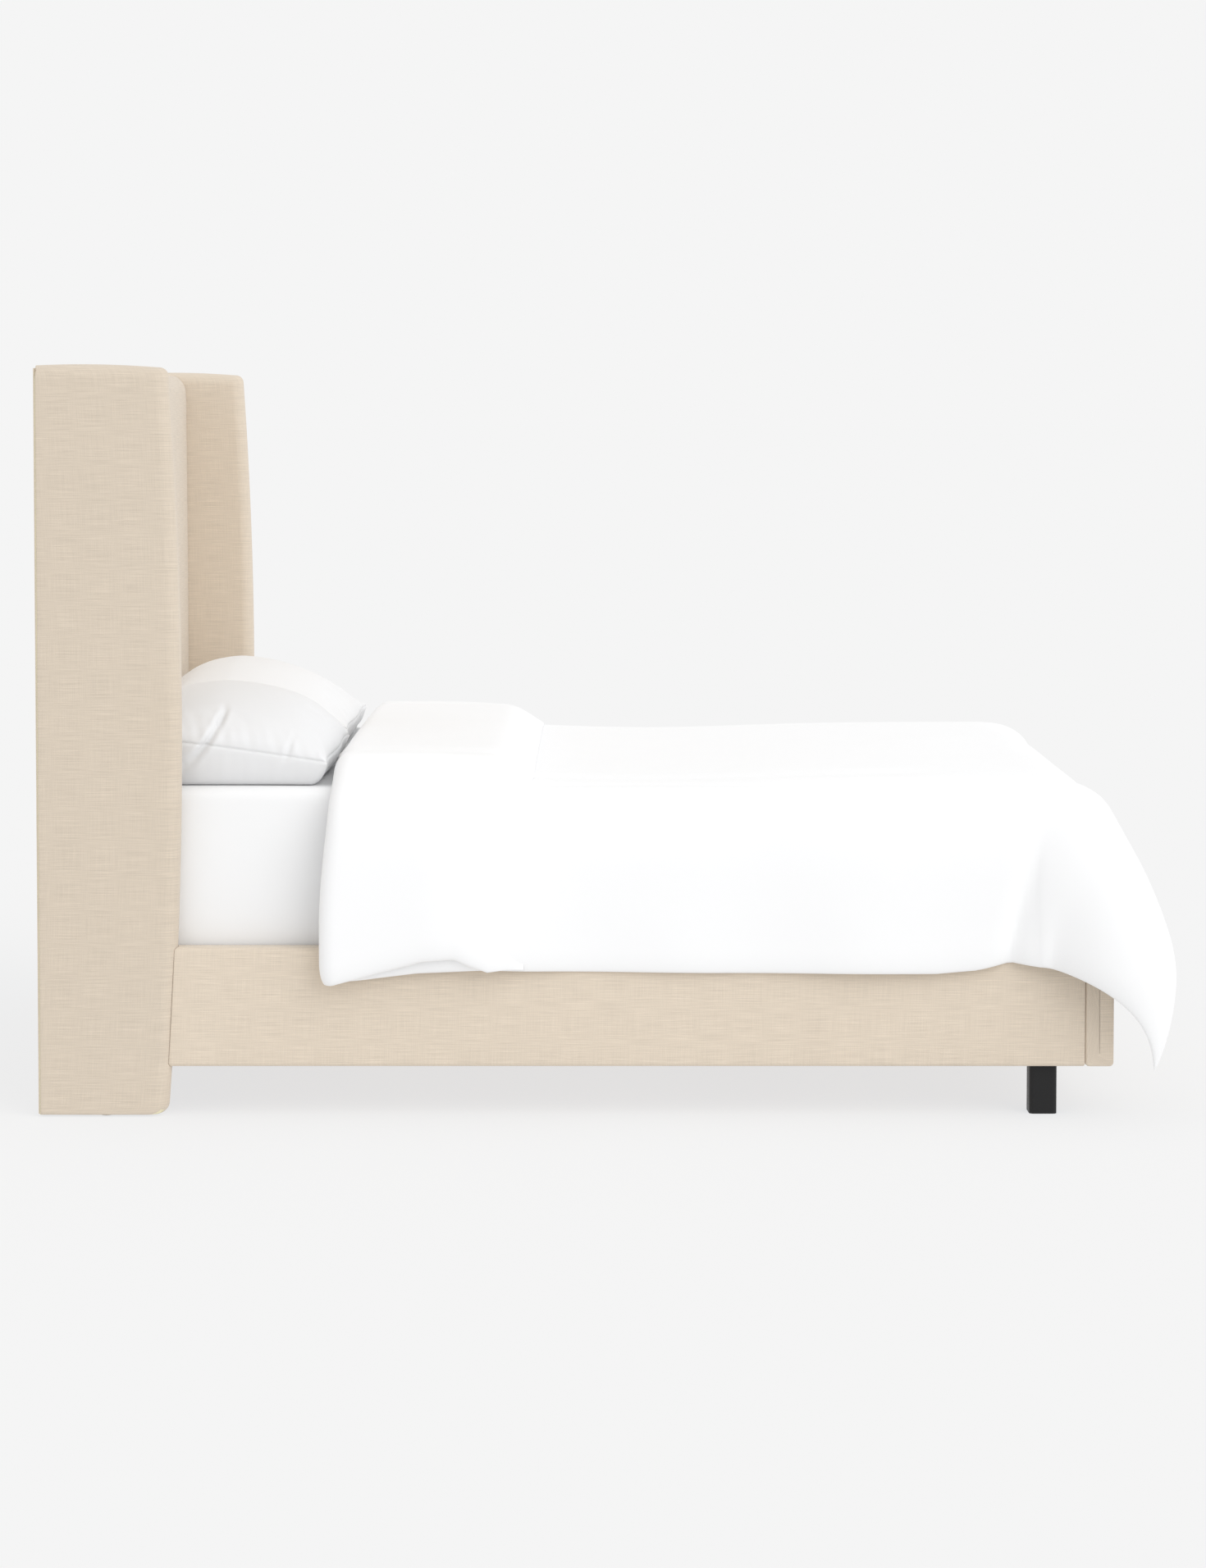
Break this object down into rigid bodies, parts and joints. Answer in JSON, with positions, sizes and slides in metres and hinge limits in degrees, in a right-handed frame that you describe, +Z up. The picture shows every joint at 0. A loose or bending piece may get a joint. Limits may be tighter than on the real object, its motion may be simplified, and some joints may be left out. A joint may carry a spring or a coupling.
{
  "type": "upholstered wingback bed",
  "caption": "Upholstered wingback bed with padded headboard and wings, fabric side rails, block feet, slatted base, box spring, mattress, pillows and folded-back duvet.",
  "frame": {"origin": "on the floor, under the middle of the bed's bounding box (duvet included)", "axes": "+Z up, +Y from the foot towards the headboard, +X across the bed"},
  "size_m": [1.685, 2.217, 1.4678],
  "materials": {
    "linen": "matte",
    "timber": "satin",
    "plywood": "satin",
    "foam": "matte",
    "black_leg": "satin",
    "black_steel": "satin",
    "zinc": "satin",
    "nylon": "satin",
    "ticking": "matte",
    "sheet": "matte",
    "down": "matte",
    "duvet": "matte"
  },
  "bodies": {
    "frame": {"centre_beam": "timber", "centre_leg_foot": "timber", "centre_leg_head": "timber", "corner_block_left": "timber", "corner_block_right": "timber", "foot_bolt_left": "zinc", "foot_bolt_right": "zinc", "foot_plate_left": "black_steel", "foot_plate_right": "black_steel", "foot_rail_board": "timber", "foot_rail_cover": "linen", "head_plate_left": "black_steel", "head_plate_right": "black_steel", "head_rail_bolt_left": "zinc", "head_rail_bolt_right": "zinc", "head_wing_bolt_left": "zinc", "head_wing_bolt_right": "zinc", "headboard_back_cover": "linen", "headboard_bottom_rail": "timber", "headboard_cover": "linen", "headboard_face_panel": "plywood", "headboard_foam": "foam", "headboard_middle_rail": "timber", "headboard_post_left": "timber", "headboard_post_right": "timber", "headboard_top_rail": "timber", "ledger_left": "timber", "ledger_right": "timber", "leg_bolt_left": "zinc", "leg_bolt_right": "zinc", "leg_left": "black_leg", "leg_right": "black_leg", "side_rail_left_board": "timber", "side_rail_left_cover": "linen", "side_rail_right_board": "timber", "side_rail_right_cover": "linen", "slat_1": "plywood", "slat_2": "plywood", "slat_3": "plywood", "slat_4": "plywood", "slat_5": "plywood", "wing_glide_left": "nylon", "wing_glide_right": "nylon", "wing_left_board": "plywood", "wing_left_cover": "linen", "wing_left_foam": "foam", "wing_right_board": "plywood", "wing_right_cover": "linen", "wing_right_foam": "foam"},
    "leveller_head": {"leveller_head": "nylon"},
    "leveller_foot": {"leveller_foot": "nylon"},
    "box_spring": {"box_spring_core": "timber", "box_spring_cover": "ticking"},
    "mattress": {"mattress": "ticking", "fitted_sheet": "sheet"},
    "pillow_left": {"pillow_left": "down", "pillowcase_left": "sheet"},
    "pillow_right": {"pillow_right": "down", "pillowcase_right": "sheet"},
    "duvet": {"duvet": "duvet"}
  },
  "joints": [
    {"name": "leveller_head_screw", "type": "slide", "parent": "frame", "child": "leveller_head", "axis": [0, 0, -1], "range_m": [0, 0.02]},
    {"name": "leveller_foot_screw", "type": "slide", "parent": "frame", "child": "leveller_foot", "axis": [0, 0, -1], "range_m": [0, 0.02]},
    {"name": "box_spring_lift", "type": "slide", "parent": "frame", "child": "box_spring", "axis": [0, 0, 1], "range_m": [0, 0.2]},
    {"name": "mattress_lift", "type": "slide", "parent": "box_spring", "child": "mattress", "axis": [0, 0, 1], "range_m": [0, 0.2]},
    {"name": "pillow_left_lift", "type": "slide", "parent": "mattress", "child": "pillow_left", "axis": [0, 0, 1], "range_m": [0, 0.25]},
    {"name": "pillow_right_lift", "type": "slide", "parent": "mattress", "child": "pillow_right", "axis": [0, 0, 1], "range_m": [0, 0.25]},
    {"name": "duvet_lift", "type": "slide", "parent": "mattress", "child": "duvet", "axis": [0, 0, 1], "range_m": [0, 0.25]}
  ]
}
